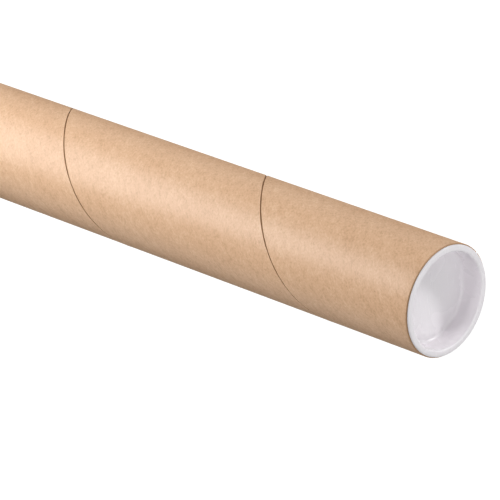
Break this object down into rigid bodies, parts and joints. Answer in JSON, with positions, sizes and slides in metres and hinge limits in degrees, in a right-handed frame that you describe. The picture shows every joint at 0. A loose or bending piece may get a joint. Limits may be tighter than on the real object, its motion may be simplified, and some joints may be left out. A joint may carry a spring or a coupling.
{
  "type": "cardboard mailing tube",
  "caption": "Spiral-wound kraft paperboard tube for posting rolled papers, closed at each end by a recessed white plastic plug cap that pulls out.",
  "frame": {"origin": "centre of the foot, on the plane of the bottom cap's flange", "axes": "+Z along the tube's axis to the other cap; the outer ply's seam crosses the -Y side 92.8 mm below the top"},
  "size_m": [0.0538, 0.0538, 0.459],
  "materials": {
    "kraft_board": "unprinted brown kraft paperboard, lightly calendered",
    "cap_plastic": "white moulded polyethylene, satin"
  },
  "bodies": {
    "tube": {"kraft_tube": "kraft_board"},
    "upper_plug": {"top_cap": "cap_plastic"},
    "lower_plug": {"bottom_cap": "cap_plastic"}
  },
  "joints": [
    {"name": "top_cap_pull", "type": "slide", "parent": "tube", "child": "upper_plug", "axis": [0, 0, 1], "range_m": [0, 0.06]},
    {"name": "bottom_cap_pull", "type": "slide", "parent": "tube", "child": "lower_plug", "axis": [0, 0, -1], "range_m": [0, 0.06]}
  ]
}
